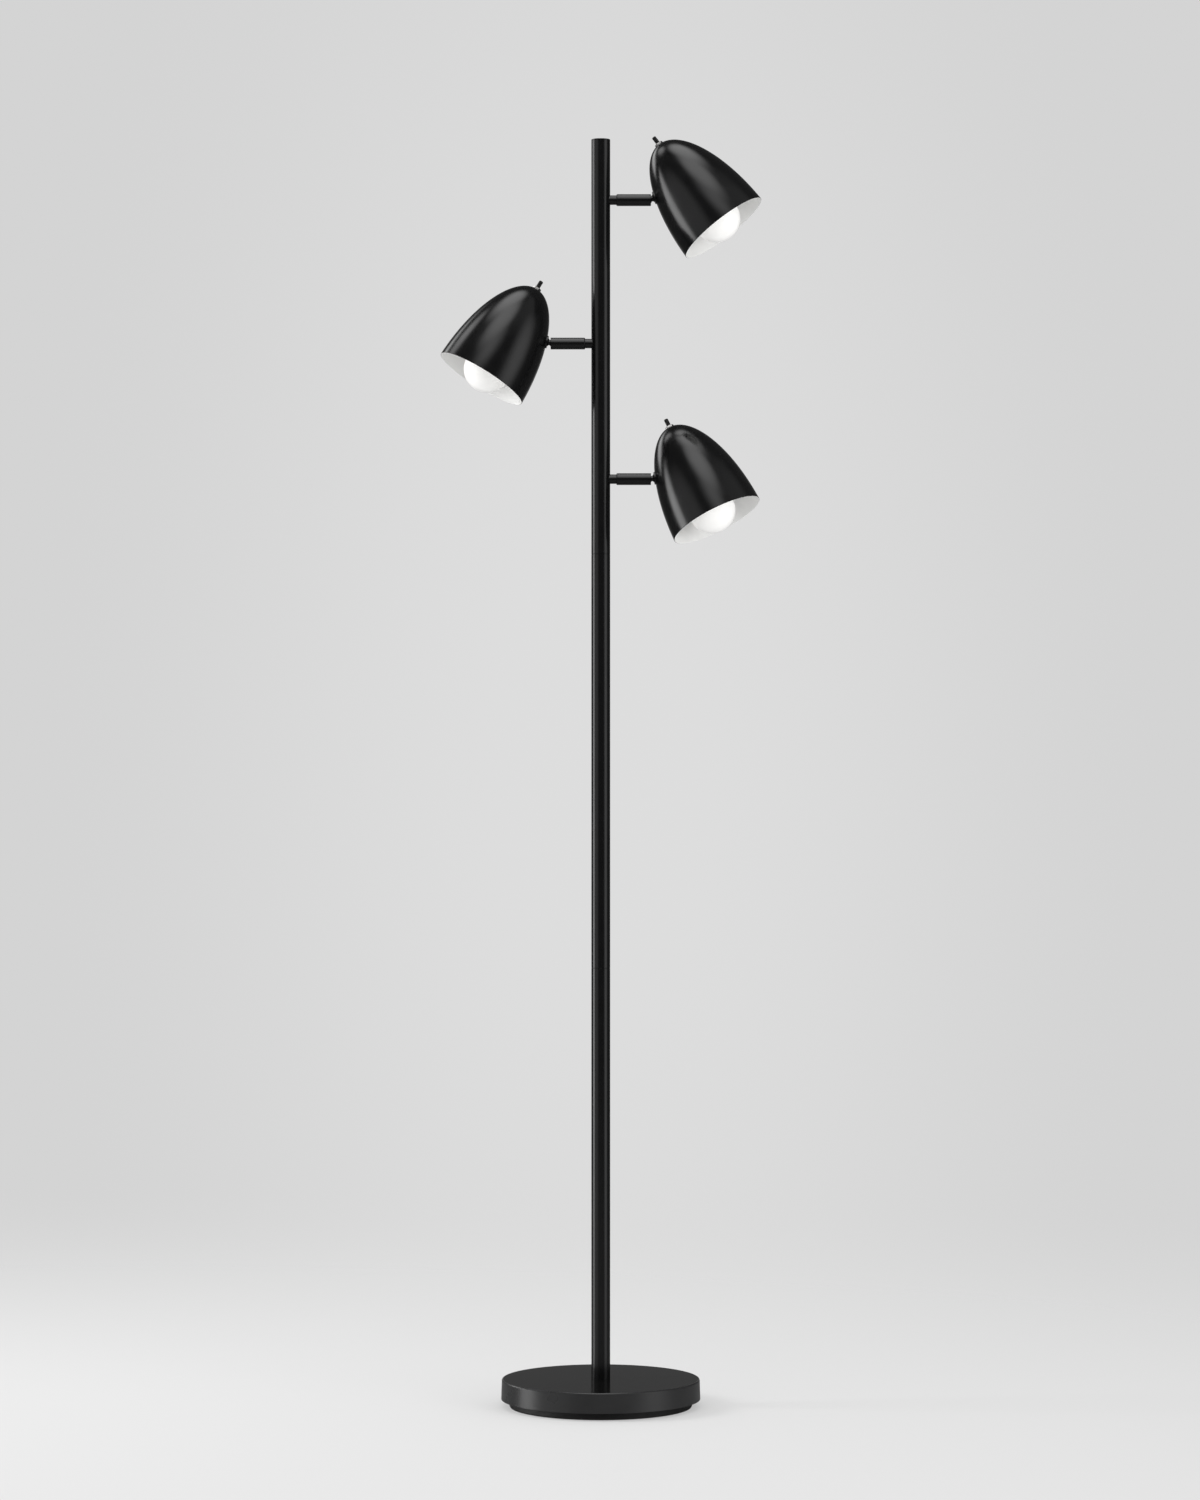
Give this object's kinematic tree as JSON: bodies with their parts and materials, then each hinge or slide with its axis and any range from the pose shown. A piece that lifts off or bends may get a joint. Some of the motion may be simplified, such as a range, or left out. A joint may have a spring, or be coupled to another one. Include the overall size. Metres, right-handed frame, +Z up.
{
  "type": "tree floor lamp",
  "caption": "Tree floor lamp: slim black pole on a round weighted base, with bell-shaped metal shades on short ball-jointed arms, each with its own rotary switch.",
  "frame": {"origin": "centre of the base's underside, on the floor, on the pole's axis", "axes": "+Z up along the pole; +X towards the upper and lower lights' arms, with the middle one on -X; -Y towards the front, where the shades' mouths lean and away from the cord inlet"},
  "size_m": [0.409, 0.2554, 1.6219],
  "materials": {
    "satin_black_paint": "satin black powder coat",
    "shade_paint": "satin black outside, white enamel inside",
    "base_black_gloss": "semi-gloss black enamel",
    "weight_iron": "raw casting",
    "plinth_plastic": "moulded black",
    "pad_foam": "non-slip foam sheet",
    "zinc_steel": "zinc-plated",
    "nickel": "nickel-plated",
    "bushing_rubber": "smooth black",
    "terminal_plastic": "moulded white",
    "wire_insulation": "extruded black",
    "seat_nylon": "natural nylon",
    "phenolic": "moulded black phenolic",
    "brass": "pressed sheet",
    "frosted_glass": "white inner frosting",
    "cap_aluminium": "rolled thread",
    "knob_plastic": "moulded black"
  },
  "bodies": {
    "stand": {"base_cover": "base_black_gloss", "base_weight": "weight_iron", "base_plinth": "plinth_plastic", "base_pad": "pad_foam", "base_stud": "zinc_steel", "base_nut": "zinc_steel", "cord_bushing": "bushing_rubber", "terminal_block": "terminal_plastic", "pole_foot": "zinc_steel", "pole_lower": "satin_black_paint", "lower_coupling": "zinc_steel", "pole_middle": "satin_black_paint", "middle_coupling": "zinc_steel", "pole_upper": "satin_black_paint", "pole_cap": "satin_black_paint", "saddle_nuts": "zinc_steel", "arm_nipples": "satin_black_paint", "pole_wiring": "wire_insulation", "arm_sleeve_upper": "satin_black_paint", "arm_sleeve_middle": "satin_black_paint", "arm_sleeve_lower": "satin_black_paint"},
    "seat_upper": {"ball_seat_upper": "seat_nylon"},
    "ball_upper": {"ball_stud_upper": "zinc_steel"},
    "head_upper": {"shade_collar_upper": "satin_black_paint", "stud_nut_upper": "zinc_steel", "shade_upper": "shade_paint", "switch_bushing_upper": "nickel", "switch_nut_upper": "nickel", "socket_body_upper": "phenolic", "socket_shell_upper": "brass", "bulb_glass_upper": "frosted_glass", "bulb_cap_upper": "cap_aluminium", "head_lead_upper": "wire_insulation"},
    "knob_upper": {"switch_knob_upper": "knob_plastic"},
    "seat_middle": {"ball_seat_middle": "seat_nylon"},
    "ball_middle": {"ball_stud_middle": "zinc_steel"},
    "head_middle": {"shade_collar_middle": "satin_black_paint", "stud_nut_middle": "zinc_steel", "shade_middle": "shade_paint", "switch_bushing_middle": "nickel", "switch_nut_middle": "nickel", "socket_body_middle": "phenolic", "socket_shell_middle": "brass", "bulb_glass_middle": "frosted_glass", "bulb_cap_middle": "cap_aluminium", "head_lead_middle": "wire_insulation"},
    "knob_middle": {"switch_knob_middle": "knob_plastic"},
    "seat_lower": {"ball_seat_lower": "seat_nylon"},
    "ball_lower": {"ball_stud_lower": "zinc_steel"},
    "head_lower": {"shade_collar_lower": "satin_black_paint", "stud_nut_lower": "zinc_steel", "shade_lower": "shade_paint", "switch_bushing_lower": "nickel", "switch_nut_lower": "nickel", "socket_body_lower": "phenolic", "socket_shell_lower": "brass", "bulb_glass_lower": "frosted_glass", "bulb_cap_lower": "cap_aluminium", "head_lead_lower": "wire_insulation"},
    "knob_lower": {"switch_knob_lower": "knob_plastic"}
  },
  "joints": [
    {"name": "lean_upper", "type": "hinge", "parent": "stand", "child": "seat_upper", "pos_m": [0.0595, 0, 1.5386], "axis": [-1, 0, 0], "range_deg": [-98.9, 81.1]},
    {"name": "tilt_upper", "type": "hinge", "parent": "seat_upper", "child": "ball_upper", "pos_m": [0.0595, 0, 1.5386], "axis": [0, -0.988, 0.1547], "range_deg": [-40.7, 5.3]},
    {"name": "spin_upper", "type": "hinge", "parent": "ball_upper", "child": "head_upper", "pos_m": [0.0595, 0, 1.5386], "axis": [0.9525, 0.0471, 0.3009], "range_deg": [-75, 75]},
    {"name": "switch_upper", "type": "hinge", "parent": "head_upper", "child": "knob_upper", "pos_m": [0.07331, 0.01163, 1.61287], "axis": [-0.5976, 0.124, 0.7921], "continuous": true},
    {"name": "lean_middle", "type": "hinge", "parent": "stand", "child": "seat_middle", "pos_m": [-0.0595, 0, 1.3556], "axis": [-1, 0, 0], "range_deg": [-99.1, 80.9]},
    {"name": "tilt_middle", "type": "hinge", "parent": "seat_middle", "child": "ball_middle", "pos_m": [-0.0595, 0, 1.3556], "axis": [0, 0.9874, -0.1582], "range_deg": [-34.9, 11.1]},
    {"name": "spin_middle", "type": "hinge", "parent": "ball_middle", "child": "head_middle", "pos_m": [-0.0595, 0, 1.3556], "axis": [-0.9784, 0.0327, 0.2041], "range_deg": [-75, 75]},
    {"name": "switch_middle", "type": "hinge", "parent": "head_middle", "child": "knob_middle", "pos_m": [-0.08084, 0.01161, 1.42807], "axis": [0.5135, 0.1357, 0.8473], "continuous": true},
    {"name": "lean_lower", "type": "hinge", "parent": "stand", "child": "seat_lower", "pos_m": [0.0595, 0, 1.1826], "axis": [-1, 0, 0], "range_deg": [-103.7, 76.3]},
    {"name": "tilt_lower", "type": "hinge", "parent": "seat_lower", "child": "ball_lower", "pos_m": [0.0595, 0, 1.1826], "axis": [0, -0.9718, 0.236], "range_deg": [-29.8, 16.2]},
    {"name": "spin_lower", "type": "hinge", "parent": "ball_lower", "child": "head_lower", "pos_m": [0.0595, 0, 1.1826], "axis": [0.993, 0.0279, 0.1147], "range_deg": [-75, 75]},
    {"name": "switch_lower", "type": "hinge", "parent": "head_lower", "child": "knob_lower", "pos_m": [0.08734, 0.0168, 1.25178], "axis": [-0.4344, 0.2126, 0.8753], "continuous": true}
  ]
}
